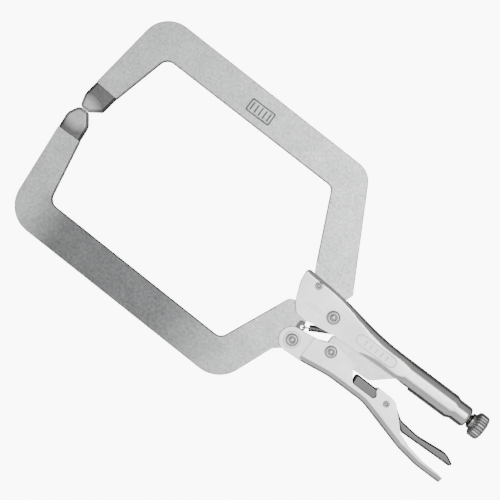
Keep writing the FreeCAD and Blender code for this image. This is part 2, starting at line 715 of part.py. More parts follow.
def spring_tab(body):
    """A tongue lanced down from the channel's back, with the hole that the spring hooks into."""
    x, y = size("tab_x"), size("tab_y")
    half = scaled(size("tab_width"), 0.5)
    tongue = box_sketch(body, "spring_tab", plus(x, half, -1), plus(x, half), plus(y, half, -1),
                        size("tab_root"), number(1.0))
    pad(body, tongue, "tab_thickness")
    bore_sketch = circle_sketch(body, "tab_hole", x, y, size("tab_hole_radius"))
    pocket(body, bore_sketch, "2 * tab_thickness")


def dimple(body):
    """The long dimple pressed into the upper cheek near the jaw pivot."""
    length, width = scaled(size("dimple_length"), 0.5), scaled(size("dimple_width"), 0.5)
    x, y = size("dimple_x"), size("dimple_y")
    mark = box_sketch(body, "dimple", plus(x, length, -1), plus(x, length), plus(y, width, -1),
                      plus(y, width), scaled(size("dimple_width"), 0.49),
                      offset="channel_arm_half_width + 1")
    pocket(body, mark, "dimple_depth + 1", symmetric=False)


def lower_handle():
    body = new_body("lower_handle")
    wide = "lever_wide_gap + 2 * lever_wide_sheet"
    blank = pad(body, outline_sketch(body, "lower_handle"), wide)
    outer = SIZES["lever_wide_gap"] / 2 + SIZES["lever_wide_sheet"]
    back = near_run(LOWER_HANDLE, "tail_heel", "front", SIZES["run_reach"])
    dress(body, "Fillet", blank, edges_where(blank, lambda p: abs(abs(p.z) - outer) < 1e-4 and back(p)),
          "lever_back_radius")
    pocket(body, outline_sketch(body, "lever_hollow"), "lever_wide_gap")
    ears(body)
    for name, shank in (("lever_pivot", "pivot_shank_radius"), ("link_pivot", "pivot_shank_radius"),
                        ("release_pivot", "small_shank_radius")):
        bore(body, size(name + "_x"), size(name + "_y"), press(shank), name + "_hole")
    return place(body)


def near_run(outline, first, last, reach):
    """A test: whether a point is within reach of the outline's straight runs between two corners."""
    names = [corner[0] for corner in outline]
    run = outline[names.index(first):names.index(last) + 1]
    points = [FreeCAD.Vector(corner[1], corner[2], 0) for corner in run]

    def is_near(point):
        flat = FreeCAD.Vector(point.x, point.y, 0)
        return any(flat.distanceToLineSegment(a, b).Length < reach for a, b in zip(points, points[1:]))

    return is_near


def ears(body):
    """The two front ears, closer together than the cheeks behind the joggle."""
    lever = (size("lever_pivot_x"), size("lever_pivot_y"))
    ear_width = "lever_gap + 2 * lever_sheet"
    pad(body, circle_sketch(body, "ear", lever[0], lever[1], size("lever_ear_radius")), ear_width)
    bridge = new_sketch(body, "ear_bridge")
    radius = size("lever_ear_radius")
    corners = [("low_left", lever[0], plus(lever[1], radius, -1), None),
               ("low_right", size("joggle_end"), size("ear_bridge_bottom"), None),
               ("high_right", size("joggle_end"), size("ear_bridge_top"), None),
               ("high_left", lever[0], plus(lever[1], radius), None)]
    draw_corners(bridge, corners)
    pad(body, bridge, ear_width)
    gap = box_sketch(body, "ear_gap", size("ear_gap_front"), plus(size("joggle_end"), number(1.0)),
                     size("ear_gap_bottom"), size("ear_gap_top"))
    pocket(body, gap, "lever_gap")


def toggle_link():
    body = new_body("toggle_link")
    pad(body, outline_sketch(body, "toggle_link"), "link_thickness")
    pivot = (size("link_pivot_x"), size("link_pivot_y"))
    pad(body, circle_sketch(body, "eye", pivot[0], pivot[1], size("link_eye_radius")), "link_thickness")
    nose = circle_sketch(body, "nose", size("link_nose_x"), number(0.0), size("link_nose_radius"))
    pad(body, nose, "link_thickness")
    bore(body, pivot[0], pivot[1], running("pivot_shank_radius"), "link_bore")
    return place(body)


def release_lever():
    body = new_body("release_lever")
    blank = pad(body, outline_sketch(body, "release_lever"), "release_width")
    half = SIZES["release_width"] / 2
    top = near_run(RELEASE_LEVER, "nose_top", "tip_top", SIZES["run_reach"])
    crown = edges_where(blank, lambda p: abs(abs(p.z) - half) < 1e-4 and top(p))
    dress(body, "Fillet", blank, crown, "release_edge_radius")
    pocket(body, outline_sketch(body, "release_hollow"), "release_width - 2 * release_sheet")
    bore(body, size("release_pivot_x"), size("release_pivot_y"), running("small_shank_radius"),
         "release_bore")
    return place(body)


def rivet(name, x, y, shank, grip, head, height):
    """A rivet along Z: a shank between two domed heads."""
    body = new_body(name)
    sketch = new_sketch(body, name + "_profile", "XZ_Plane")
    axis, high = number(0.0), plus(size(grip), size(height))
    dome = scaled(size(height), 0.85)
    low_grip, low = scaled(size(grip), -1), scaled(high, -1)
    draw_corners(sketch, [
        ("foot_axis", axis, low, None), ("foot", size(head), low, dome),
        ("foot_rim", size(head), low_grip, None), ("shank_low", size(shank), low_grip, None),
        ("shank_high", size(shank), size(grip), None),
        ("head_rim", size(head), size(grip), None), ("head", size(head), high, dome),
        ("head_axis", axis, high, None),
    ])
    revolve(body, sketch, "V_Axis")
    return place(body, x, y)


def revolve(body, sketch, axis):
    feature = body.newObject("PartDesign::Revolution", sketch.Name + "_turned")
    feature.Profile = sketch
    feature.ReferenceAxis = (sketch, [axis])
    feature.Angle = 360
    doc.recompute()
    return feature


def jaw_pivot_rivet():
    return rivet("jaw_pivot_rivet", "0", "0", "pivot_shank_radius", "pivot_grip", "pivot_head_radius",
                 "pivot_head_height")


def arm_rivet():
    return rivet("arm_rivet", "arm_rivet_x", "arm_rivet_y", "small_shank_radius", "arm_rivet_grip",
                 "small_head_radius", "small_head_height")


def lever_pivot_rivet():
    return rivet("lever_pivot_rivet", "lever_pivot_x", "lever_pivot_y", "pivot_shank_radius", "lever_grip",
                 "lever_head_radius", "pivot_head_height")


def link_rivet():
    return rivet("link_rivet", "link_pivot_x", "link_pivot_y", "pivot_shank_radius", "wide_grip",
                 "lever_head_radius", "pivot_head_height")


def release_rivet():
    return rivet("release_rivet", "release_pivot_x", "release_pivot_y", "small_shank_radius", "wide_grip",
                 "release_head_radius", "small_head_height")


def cylinder(name, radius, height):
    """A cylinder along Z, centred on the level plane."""
    item = doc.addObject("Part::Cylinder", name)
    item.setExpression("Radius", cell(radius))
    item.setExpression("Height", cell(height))
    item.setExpression("Placement.Base.z", cell("-(" + height + ") / 2"))
    return item


def washer_pair(name, x, y, radius, inner, outer):
    """Two equal washers, one each side of the level plane."""
    stack = cylinder(name + "_stack", radius, "2 * " + outer)
    gap = cylinder(name + "_gap", radius + " + 1", "2 * " + inner)
    hole = cylinder(name + "_hole", "pivot_shank_radius + press_allowance", "3 * " + outer)
    tools = doc.addObject("Part::MultiFuse", name + "_tools")
    tools.Shapes = [gap, hole]
    pair = doc.addObject("Part::Cut", name)
    pair.Base, pair.Tool = stack, tools
    return place(pair, x, y)


def lever_pivot_washers():
    return washer_pair("lever_pivot_washers", "lever_pivot_x", "lever_pivot_y", "washer_radius",
                       "washer_inner", "washer_outer")


def link_washers():
    return washer_pair("link_washers", "link_pivot_x", "link_pivot_y", "link_washer_radius",
                       "link_washer_inner", "link_washer_outer")


def screw_nut():
    body = new_body("screw_nut")
    centre = number(0.0)
    seat = plus(size("nut_radius"), size("press_allowance"), -1)
    ring = circle_sketch(body, "nut_ring", centre, centre, seat, "YZ_Plane", "nut_start")
    pad_along_x(body, ring, "nut_end - nut_start")
    thread = circle_sketch(body, "nut_thread", centre, centre, running("screw_radius"), "YZ_Plane",
                           "nut_start - 1")
    pocket(body, thread, "nut_end - nut_start + 2", symmetric=False, reverse=True)
    return place(body)


def turned(name, corners):
    """A piece turned about the screw's axis from (label, x, radius, rounding) corners."""
    body = new_body(name)
    sketch = new_sketch(body, name + "_profile")
    draw_corners(sketch, corners)
    revolve(body, sketch, "H_Axis")
    return place(body)


def screw_thrust_cap():
    """The cap that stays still while the screw's stub turns inside it."""
    socket = running("cap_stub_radius")
    socket_end = plus(size("screw_start"), size("cap_socket_depth"), -1)
    axis = number(0.0)
    return turned("screw_thrust_cap", [
        ("face_axis", size("cap_start"), axis, None),
        ("face", size("cap_start"), size("cap_radius"), number(1.5)),
        ("rim", size("screw_start"), size("cap_radius"), number(0.5)),
        ("mouth", size("screw_start"), socket, None),
        ("socket", socket_end, socket, None), ("socket_axis", socket_end, axis, None),
    ])


def adjusting_screw():
    lap = size("cap_lap")
    stub_start = plus(plus(size("screw_start"), size("cap_socket_depth"), -1), lap)
    shoulder = plus(size("screw_start"), lap)
    axis = number(0.0)
    seat_start = plus(size("knob_start"), number(0.0))
    return turned("adjusting_screw", [
        ("stub_axis", stub_start, axis, None), ("stub", stub_start, size("cap_stub_radius"), number(0.4)),
        ("neck", shoulder, size("cap_stub_radius"), None),
        ("shoulder", shoulder, size("screw_radius"), number(0.8)),
        ("end", seat_start, size("screw_radius"), None),
        ("seat", seat_start, size("knob_seat_radius"), None),
        ("seat_end", size("knob_seat_end"), size("knob_seat_radius"), number(0.5)),
        ("seat_axis", size("knob_seat_end"), axis, None),
    ])


def adjusting_knob():
    """A fluted rim round a slimmer hub, pressed onto the screw's seat."""
    fit = plus(size("knob_seat_radius"), size("press_allowance"))
    bottom = plus(size("knob_seat_end"), size("press_allowance"))
    end, dish = size("knob_end"), plus(size("knob_end"), size("knob_dish_depth"), -1)
    axis = number(0.0)
    body = turned("adjusting_knob", [
        ("mouth", size("knob_start"), fit, None),
        ("hub", size("knob_start"), size("knob_hub_radius"), number(0.8)),
        ("waist", size("knob_rim_start"), size("knob_hub_radius"), number(1.2)),
        ("rim_back", size("knob_rim_start"), size("knob_radius"), number(1.8)),
        ("rim_front", end, size("knob_radius"), number(1.6)),
        ("lip", end, size("knob_dish_radius"), number(0.6)),
        ("dish", dish, plus(size("knob_dish_radius"), number(0.8), -1), number(0.6)),
        ("dish_axis", dish, axis, None),
        ("bottom_axis", bottom, axis, None), ("bottom", bottom, fit, None),
    ])
    flute = circle_sketch(body, "flute", number(0.0), size("knob_radius"), size("flute_radius"), "YZ_Plane",
                          "knob_rim_start - 1")
    cut = pocket(body, flute, "knob_end - knob_rim_start + 2", symmetric=False, reverse=True)
    ring = body.newObject("PartDesign::PolarPattern", "flutes")
    ring.Originals = [cut]
    axis_line = [item for item in body.Origin.OriginFeatures if item.Role == "X_Axis"][0]
    ring.Axis = (axis_line, [""])
    ring.Angle = 360
    ring.setExpression("Occurrences", cell("flute_count"))
    body.Tip = ring
    doc.recompute()
    return body


def opening_spring():
    """A close coil with a round hook on each end; the hooks stand upright, across the arms' plane."""
    start = FreeCAD.Vector(SIZES["spring_ear_x"], SIZES["spring_ear_y"], 0)
    end = FreeCAD.Vector(SIZES["tab_x"], SIZES["tab_y"], 0)
    reach = (end - start).Length
    lead = (reach - (SIZES["coil_turns"] - 1) * SIZES["coil_pitch"]) / 2
    body = new_body("opening_spring")
    hook(body, "first_hook", lead, 0.0, 1)
    hook(body, "last_hook", reach - lead, reach, -1)
    coil_rings(body, lead)
    turn = FreeCAD.Rotation(FreeCAD.Vector(0, 0, 1), FreeCAD.Vector(0, 0, 0), end - start, "ZXY")
    body.Placement = FreeCAD.Placement(FreeCAD.Vector(0, 0, 0), turn)
    return place(body, "spring_ear_x", "spring_ear_y")


def coil_rings(body, lead):
    """The close-wound coil, turned from a scalloped section: one scallop a turn, inside and out."""
    wire, radius, pitch = SIZES["wire_radius"], SIZES["coil_radius"], SIZES["coil_pitch"]
    reach = math.asin(pitch / (2 * wire))
    turns = range(SIZES["coil_turns"])
    last = turns[-1]
    arcs = [(turn, -reach if turn else -math.pi - reach, reach if turn < last else math.pi + reach)
            for turn in turns]
    arcs += [(turn, math.pi - reach, math.pi + reach) for turn in reversed(turns[1:-1])]
    sketch = new_sketch(body, "coil_section", "XZ_Plane")
    for turn, first, final in arcs:
        centre = FreeCAD.Vector(radius, lead + turn * pitch, 0)
        circle = Part.Circle(centre, FreeCAD.Vector(0, 0, 1), wire)
        sketch.addGeometry(Part.ArcOfCircle(circle, first, final), False)
    revolve(body, sketch, "V_Axis")


def hook(body, name, coil_end, eye, sign):
    """Round wire: a straight lead off the coil's last turn, then most of a loop through the eye."""
    centre = eye + sign * SIZES["coil_radius"]
    section = circle_sketch(body, name + "_wire", size("coil_radius"), number(0.0), size("hook_wire_radius"),
                            offset=str(centre))
    loop = body.newObject("PartDesign::Revolution", name + "_loop")
    loop.Profile = section
    loop.ReferenceAxis = (section, ["V_Axis"])
    loop.Reversed = sign < 0
    loop.setExpression("Angle", cell("hook_sweep"))
    doc.recompute()
    lead = body.newObject("PartDesign::Pad", name + "_lead")
    lead.Profile = section
    lead.Reversed = sign < 0
    lead.Length = abs(coil_end - centre) + SIZES["hook_lap"]
    doc.recompute()


BUILDERS = [
    fixed_handle, screw_nut, upper_arm, upper_jaw_tip, arm_rivet, jaw_pivot_rivet, opening_spring,
    lower_arm, lower_jaw_tip, lower_handle, lever_pivot_rivet, lever_pivot_washers, link_rivet,
    link_washers, release_rivet, toggle_link, release_lever, screw_thrust_cap, adjusting_screw,
    adjusting_knob,
]


def move_to_frame(parts):
    """Sets the sheet's frame offset: the footprint's middle and the lowest point become the origin."""
    doc.recompute()
    box = FreeCAD.BoundBox()
    for part in parts:
        box.add(exact_box(part.Shape))
    for name, value in (("frame_x", -box.Center.x), ("frame_y", -box.Center.y), ("frame_z", -box.ZMin)):
        sheet.set(name, "%.3f" % value)


def exact_box(shape):
    """The bounding box of the shape's real faces."""
    return shape.optimalBoundingBox(False)


def check(parts):
    """Every object computed, every sub-part a valid solid."""
    for item in doc.Objects:
        if "Invalid" in item.State or "Error" in item.State:
            raise RuntimeError("%s: %s" % (item.Name, item.State))
    for part in parts:
        if part.Shape.isNull() or not part.Shape.isValid() or not part.Shape.Solids:
            raise RuntimeError(part.Label + " has no valid solid")


def main():
    global doc, sheet
    doc = FreeCAD.newDocument("locking_c_clamp")
    sheet = doc.addObject("Spreadsheet::Sheet", "Sheet")
    fill_sheet()
    parts = [build() for build in BUILDERS]
    move_to_frame(parts)
    doc.recompute()
    check(parts)
    os.makedirs("parts", exist_ok=True)
    for part in parts:
        part.Shape.exportStep("parts/" + part.Label + ".step")
        box = exact_box(part.Shape)
        print("%-20s %9.1f mm3 %d x %.1f..%.1f y %.1f..%.1f z %.1f..%.1f" % (
            part.Label, part.Shape.Volume, len(part.Shape.Solids), box.XMin, box.XMax, box.YMin, box.YMax,
            box.ZMin, box.ZMax))
    print("frame offset", sheet.frame_x, sheet.frame_y, sheet.frame_z)


main()
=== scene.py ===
"""Long-reach locking C-clamp: the detailed meshes, materials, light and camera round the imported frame."""
import json
import math

import bmesh
import bpy
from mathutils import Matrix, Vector


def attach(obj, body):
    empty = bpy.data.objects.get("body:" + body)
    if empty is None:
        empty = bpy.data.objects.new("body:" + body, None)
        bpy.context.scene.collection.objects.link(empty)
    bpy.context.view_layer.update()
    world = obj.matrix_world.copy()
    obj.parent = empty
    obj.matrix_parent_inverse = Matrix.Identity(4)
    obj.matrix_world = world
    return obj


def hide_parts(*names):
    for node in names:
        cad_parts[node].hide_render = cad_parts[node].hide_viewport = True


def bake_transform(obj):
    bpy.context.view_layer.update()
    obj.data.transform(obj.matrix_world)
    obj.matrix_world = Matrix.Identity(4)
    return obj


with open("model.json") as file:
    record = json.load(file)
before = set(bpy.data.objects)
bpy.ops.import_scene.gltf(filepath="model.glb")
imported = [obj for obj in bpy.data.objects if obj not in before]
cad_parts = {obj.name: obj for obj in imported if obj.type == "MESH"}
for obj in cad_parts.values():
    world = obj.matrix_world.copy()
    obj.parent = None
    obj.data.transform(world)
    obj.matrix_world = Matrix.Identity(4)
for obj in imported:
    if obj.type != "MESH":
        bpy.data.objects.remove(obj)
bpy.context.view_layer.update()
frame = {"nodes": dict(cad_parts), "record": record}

MM = 0.001
JOINTS = {joint["name"]: joint for joint in frame["record"]["behaviour"]["joints"]}
BODIES = frame["record"]["behaviour"]["bodies"]
SLOTS = {part["node"]: part["material_slot"] for part in frame["record"]["subparts"]}
JAW_PIVOT = Vector(JOINTS["jaw_pivot"]["pos_m"])

# Where the painted shade on the lower bar's long run fades into the rest, in metres: across it, then its left
# and right ends.
SHADED_RUN_ACROSS = (-0.078, -0.055)
SHADED_RUN_LEFT = (-0.215, -0.165)
SHADED_RUN_RIGHT = (-0.07, 0.045)
# How far the floor of a stamped groove is darkened, as painted shade.
GROOVE_SHADE_TONE = 0.22
# Reach in mm of each pass of corner dirt and painted shade, and the openness at which it starts and ends.
DIRT_AND_SHADE_PASSES = ((3.0, 0.15, 0.75), (1.1, 0.5, 0.92))

CORNER_DEGREES = 28.0
CREASE_DEGREES = 40
BEVEL_SEGMENTS = 2
WELD_DISTANCE = 2e-6
FLAT_DEGREES = 0.2

KNOB_RIM = 11.55
KNOB_FLUTE = 0.85
KNOB_FLUTES = 22
THREAD_PITCH = 1.5
THREAD_CREST = 4.97
THREAD_ROOT = 4.1
SPRING_EAR = (-16.5, -23.0)
SPRING_TAB = (28.0, 1.9)
COIL_RADIUS = 2.5
COIL_TURNS = 32
COIL_LEAD = 6.3
COIL_STEPS = 28
WIRE_RADIUS = 0.57

FLOOR_SIZE = 6.0
FLOOR_GLOW = 9.0
CAMERA_HEIGHT = 1200.0
VIEW_WIDTH = 436.0
SENSOR_WIDTH = 36.0
VIEW_TURN = 36.8


def at(x, y, z=0.0):
    """A point in the row frame from millimetres about the jaw pivot, at the middle of the bars' thickness."""
    return JAW_PIVOT + Vector((x, y, z)) * MM


def body_with(node):
    return next(name for name, nodes in BODIES.items() if node in nodes)


# ---------------------------------------------------------------- materials

def node(tree, kind, inputs=None, **settings):
    """A shader node with its settings and its unlinked input values."""
    made = tree.nodes.new(kind)
    for key, value in settings.items():
        setattr(made, key, value)
    for key, value in (inputs or {}).items():
        if isinstance(value, bpy.types.NodeSocket):
            tree.links.new(value, made.inputs[key])
        else:
            made.inputs[key].default_value = value
    return made


def noise(tree, vector, scale, detail=4.0, roughness=0.55):
    return node(tree, "ShaderNodeTexNoise", {"Vector": vector, "Scale": scale, "Detail": detail,
                                             "Roughness": roughness}).outputs["Fac"]


def ranged(tree, value, low, high, start=0.0, end=1.0, smooth=False):
    kind = "SMOOTHSTEP" if smooth else "LINEAR"
    inputs = {"Value": value, "From Min": start, "From Max": end, "To Min": low, "To Max": high}
    return node(tree, "ShaderNodeMapRange", inputs, interpolation_type=kind).outputs["Result"]


def product(tree, first, second):
    return node(tree, "ShaderNodeMath", {0: first, 1: second}, operation="MULTIPLY").outputs[0]


def tinted(tree, color, factor):
    """The colour times a grey factor."""
    vector = node(tree, "ShaderNodeVectorMath", {0: color[:3]}, operation="SCALE")
    tree.links.new(factor, vector.inputs["Scale"])
    return vector.outputs[0]


def metal(name, color, rough, mottle=(60.0, 0.08), blotch=(14.0, 0.05), grain=(1600.0, 0.05), streak=None,
          rough_spread=0.06, edge=(0.35, 1.15), dirt_and_shade=0.45, painted_run_shade=0.0, painted_highlight=None, face=None):
    """A plated or bare steel: cloudy tone, fine grain, uneven gloss, a painted highlight on the edges and
    dirt with painted shade in the corners.
    """
    material = bpy.data.materials.new(name)
    material.use_nodes = True
    tree = material.node_tree
    tree.nodes.clear()
    output = node(tree, "ShaderNodeOutputMaterial")
    shader = node(tree, "ShaderNodeBsdfPrincipled", {"Metallic": 1.0})
    tree.links.new(shader.outputs[0], output.inputs["Surface"])
    place = node(tree, "ShaderNodeTexCoord").outputs["Object"]
    clouds = ranged(tree, noise(tree, place, mottle[0], 5.0, 0.6), 1 - mottle[1], 1 + mottle[1], 0.3, 0.7)
    patches = ranged(tree, noise(tree, place, blotch[0], 3.0), 1 - blotch[1], 1 + blotch[1], 0.3, 0.7)
    tone = product(tree, clouds, patches)
    if painted_run_shade:
        # Painted shade: the long run of the lower bar is darkened, by position, as if less light fell on it.
        spot = node(tree, "ShaderNodeSeparateXYZ", {0: place})
        across = ranged(tree, spot.outputs["Y"], 1.0, 0.0, *SHADED_RUN_ACROSS, smooth=True)
        along = product(tree, ranged(tree, spot.outputs["X"], 0.0, 1.0, *SHADED_RUN_LEFT, smooth=True),
                        ranged(tree, spot.outputs["X"], 1.0, 0.0, *SHADED_RUN_RIGHT, smooth=True))
        tone = product(tree, tone, ranged(tree, product(tree, across, along), 1.0, painted_run_shade))
    fine = noise(tree, place, grain[0], 2.0)
    height = fine
    if streak:
        stretched = node(tree, "ShaderNodeMapping", {"Vector": place, "Scale": streak[0]}).outputs[0]
        lines = noise(tree, stretched, 1.0, 3.0)
        tone = product(tree, tone, ranged(tree, lines, 1 - streak[1], 1 + streak[1], 0.3, 0.7))
        height = node(tree, "ShaderNodeMath", {0: fine, 1: lines}, operation="ADD").outputs[0]
    if painted_highlight:
        # Painted highlight: the nose is lightened towards its working end, by position, as if it caught the
        # light.
        away = node(tree, "ShaderNodeVectorMath", {0: place, 1: painted_highlight[0]}, operation="DISTANCE")
        away = away.outputs["Value"]
        tone = product(tree, tone, ranged(tree, away, painted_highlight[3], 1.0, painted_highlight[1] * MM, painted_highlight[2] * MM))
    if face:
        # Painted shade: whatever lies below the flat face and still looks up or down is the floor of a
        # stamped groove, and is darkened as if in shadow.
        level = node(tree, "ShaderNodeSeparateXYZ", {0: place}).outputs["Z"]
        depth = node(tree, "ShaderNodeMath", {0: level, 1: JAW_PIVOT.z}, operation="SUBTRACT").outputs[0]
        depth = node(tree, "ShaderNodeMath", {0: depth}, operation="ABSOLUTE").outputs[0]
        upright = node(tree, "ShaderNodeTexCoord").outputs["Normal"]
        upright = node(tree, "ShaderNodeSeparateXYZ", {0: upright}).outputs["Z"]
        upright = node(tree, "ShaderNodeMath", {0: upright}, operation="ABSOLUTE").outputs[0]
        shaded_groove = product(tree, ranged(tree, depth, 1.0, 0.0, (face - 0.35) * MM, (face - 0.15) * MM),
                       ranged(tree, upright, 0.0, 1.0, 0.8, 0.95))
        tone = product(tree, tone, ranged(tree, shaded_groove, 1.0, GROOVE_SHADE_TONE))
    # Painted highlight: edges, where the rounded normal leaves the true one, are lightened.
    rounded = node(tree, "ShaderNodeBevel", {"Radius": edge[0] * MM}, samples=6).outputs[0]
    true = node(tree, "ShaderNodeNewGeometry").outputs["Normal"]
    align = node(tree, "ShaderNodeVectorMath", {0: rounded, 1: true}, operation="DOT_PRODUCT")
    align = align.outputs["Value"]
    edge_highlight = ranged(tree, align, edge[1], 1.0, 0.86, 0.995)
    tone = product(tree, tone, edge_highlight)
    # Dirt and painted shade: corners and gaps between parts are darkened by how enclosed they are.
    for reach, low, high in DIRT_AND_SHADE_PASSES:
        shade = node(tree, "ShaderNodeAmbientOcclusion", {"Distance": reach * MM}, samples=6).outputs["AO"]
        tone = product(tree, tone, ranged(tree, shade, dirt_and_shade, 1.0, low, high))
    tree.links.new(tinted(tree, color, tone), shader.inputs["Base Color"])
    gloss = ranged(tree, noise(tree, place, mottle[0] * 1.7, 4.0), rough - rough_spread, rough + rough_spread,
                   0.3, 0.7)
    tree.links.new(gloss, shader.inputs["Roughness"])
    bump = node(tree, "ShaderNodeBump", {"Strength": grain[1] * 10, "Distance": 0.02 * MM, "Height": height})
    tree.links.new(bump.outputs[0], shader.inputs["Normal"])
    return material


MATERIALS = {
    # The bars' colour carries painted shade on the lower bar's long run and in stamped grooves.
    "arm_steel": metal("plated_bar_painted_shade", (0.66, 0.67, 0.68), 0.34, mottle=(420.0, 0.24), blotch=(60.0, 0.09),
                       grain=(2600.0, 0.10), rough_spread=0.08, painted_run_shade=0.3, face=4.75),
    # The noses are dark, with a painted highlight lightening the lower nose towards its end.
    "tip_steel": metal("hardened_nose_painted_highlight", (0.17, 0.17, 0.17), 0.3, mottle=(420.0, 0.16), grain=(2600.0, 0.09),
                       painted_highlight=(at(-282.0, 12.0), 11.0, 19.0, 3.6)),
    "handle_nickel": metal("bright_nickel", (0.86, 0.86, 0.85), 0.17, mottle=(90.0, 0.06),
                           blotch=(30.0, 0.10), grain=(1200.0, 0.03), rough_spread=0.05),
    # Painted shade: the release lever is coloured near black so that it reads as the shade inside the lower
    # handle's channel.
    "lever_nickel": metal("nickel_darkened_as_shade", (0.12, 0.12, 0.12), 0.22, mottle=(90.0, 0.05),
                          grain=(1500.0, 0.04)),
    "rivet_steel": metal("rivet_steel", (0.74, 0.74, 0.73), 0.22, mottle=(300.0, 0.07), grain=(2400.0, 0.05)),
    "link_steel": metal("link_steel", (0.72, 0.72, 0.71), 0.27, mottle=(150.0, 0.08), grain=(1800.0, 0.05),
                        streak=((60.0, 1400.0, 60.0), 0.06)),
    "spring_steel": metal("drawn_wire", (0.42, 0.42, 0.42), 0.28, mottle=(400.0, 0.08), grain=(2400.0, 0.04)),
    "screw_steel": metal("machined_steel", (0.40, 0.40, 0.39), 0.28, mottle=(300.0, 0.07),
                         grain=(2400.0, 0.05)),
    "knob_nickel": metal("knob_nickel", (0.42, 0.42, 0.415), 0.24, mottle=(250.0, 0.07),
                         grain=(2000.0, 0.05)),
}


# ---------------------------------------------------------------- meshes

def finish_piece(mesh_object, cad_nodes):
    """Gives a piece the material of its first CAD node's slot, and hides the CAD nodes it stands for."""
    first = cad_nodes[0]
    mesh_object.data.materials.clear()
    mesh_object.data.materials.append(MATERIALS[SLOTS[first]])
    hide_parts(*cad_nodes)


def new_object(name, mesh):
    made = bpy.data.objects.new(name, mesh)
    bpy.context.scene.collection.objects.link(made)
    return made


def smooth_faces(mesh_object):
    for polygon in mesh_object.data.polygons:
        polygon.use_smooth = True


def shade(mesh_object):
    """Smooth faces whose shading follows the large ones, so that a flat face stays flat beside its bevel."""
    smooth_faces(mesh_object)
    modifier = mesh_object.modifiers.new("weighted_normals", "WEIGHTED_NORMAL")
    modifier.keep_sharp = True
    modifier.weight = 60


def refine(cad_node, width):
    """The CAD node's shape with its corners rolled over, as a piece of its own."""
    mesh = frame["nodes"][cad_node].data.copy()
    mesh.name = cad_node + "_mesh"
    form = bmesh.new()
    form.from_mesh(mesh)
    bmesh.ops.remove_doubles(form, verts=form.verts, dist=WELD_DISTANCE)
    bmesh.ops.dissolve_limit(form, angle_limit=math.radians(FLAT_DEGREES), verts=form.verts,
                             edges=form.edges)
    corners = [edge for edge in form.edges
               if len(edge.link_faces) == 2 and edge.calc_face_angle() > math.radians(CORNER_DEGREES)]
    bmesh.ops.bevel(form, geom=corners, offset=width * MM, segments=BEVEL_SEGMENTS, profile=0.5,
                    affect="EDGES", clamp_overlap=True)
    form.to_mesh(mesh)
    form.free()
    if "custom_normal" in mesh.attributes:
        mesh.attributes.remove(mesh.attributes["custom_normal"])
    piece = new_object(cad_node + "_part", mesh)
    shade(piece)
    finish_piece(piece, [cad_node])
    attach(piece, body_with(cad_node))


def grid_mesh(name, rows):
    """A mesh through rings of points; each end is closed by a fan to the ring's middle."""
    form = bmesh.new()
    rings = [[form.verts.new(point) for point in row] for row in rows]
    count = len(rings[0])
    for low, high in zip(rings, rings[1:]):
        for i in range(count):
            form.faces.new((low[i], low[(i + 1) % count], high[(i + 1) % count], high[i]))
    for ring in (rings[0], rings[-1]):
        middle = form.verts.new(sum((vertex.co for vertex in ring), Vector()) / count)
        for i in range(count):
            form.faces.new((ring[i], ring[(i + 1) % count], middle))
    bmesh.ops.recalc_face_normals(form, faces=form.faces)
    mesh = bpy.data.meshes.new(name)
    form.to_mesh(mesh)
    form.free()
    return mesh


def lathe(name, centre, profile, along="Z", segments=72, radius_at=None):
    """A piece turned about an axis from (distance along it, radius) in mm."""
    rows = []
    for distance, radius in profile:
        row = []
        for i in range(segments):
            angle = 2 * math.pi * i / segments
            reach = (radius_at(distance, radius, angle) if radius_at else radius) * MM
            across = (reach * math.cos(angle), reach * math.sin(angle))
            local = (*across, distance * MM) if along == "Z" else (distance * MM, *across)
            row.append(centre + Vector(local))
        rows.append(row)
    piece = new_object(name, grid_mesh(name, rows))
    smooth_faces(piece)
    piece.data.set_sharp_from_angle(angle=math.radians(CREASE_DEGREES))
    return piece


# One side of a rivet's head, from its seat: shares of the head's height, and of its radius.
RIVET_HEAD = [(0.0, 1.0), (0.18, 1.0), (0.42, 0.975), (0.66, 0.90), (0.82, 0.80), (0.90, 0.70),
              (0.90, 0.62), (0.80, 0.56), (0.52, 0.52), (0.44, 0.46), (0.50, 0.40), (0.78, 0.33),
              (0.90, 0.22), (0.94, 0.10), (0.95, 0.02)]


def rivet(cad_node, pivot, grip, head, height, shank):
    """A spun rivet: a ring with a round button in its middle on each side."""
    top = [(grip + up * height, share * head) for up, share in RIVET_HEAD]
    profile = [(-z, r) for z, r in reversed(top)] + [(-grip, shank), (grip, shank)] + top
    piece = lathe(cad_node + "_spun", pivot, profile)
    finish_piece(piece, [cad_node])
    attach(piece, body_with(cad_node))


def knob_radius(distance, radius, angle):
    """Twenty-two rounded flutes, cut into the rim only."""
    if radius < KNOB_RIM - 2.4:
        return radius
    depth = KNOB_FLUTE * (0.5 - 0.5 * math.cos(KNOB_FLUTES * angle)) ** 3
    return radius - depth


def adjusting_knob():
    profile = [(149.3, 3.6), (149.3, 6.6), (149.7, 7.1), (151.6, 7.1), (152.3, 7.6), (152.75, 8.6),
               (153.0, 9.6), (153.5, 10.7), (154.3, 11.35), (155.2, 11.55), (156.6, 11.55),
               (158.2, 11.55), (159.8, 11.55), (161.2, 11.5), (162.1, 11.2), (162.8, 10.5),
               (163.15, 9.4), (163.25, 8.0), (163.2, 7.0), (162.9, 6.5), (162.45, 6.2), (162.3, 5.4),
               (162.3, 3.0), (162.3, 0.6)]
    piece = lathe("adjusting_knob_fluted", JAW_PIVOT, profile, "X", KNOB_FLUTES * 12, knob_radius)
    finish_piece(piece, ["adjusting_knob"])
    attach(piece, "adjusting_screw")


def thread_radius(distance, radius, angle):
    """A rounded V thread."""
    if radius < THREAD_CREST - 0.01:
        return radius
    turn = (distance / THREAD_PITCH - angle / (2 * math.pi)) % 1.0
    groove = abs(turn - 0.5) * 2
    return THREAD_ROOT + (THREAD_CREST - THREAD_ROOT) * min(max(1.25 * (1 - groove), 0.0), 1.0)


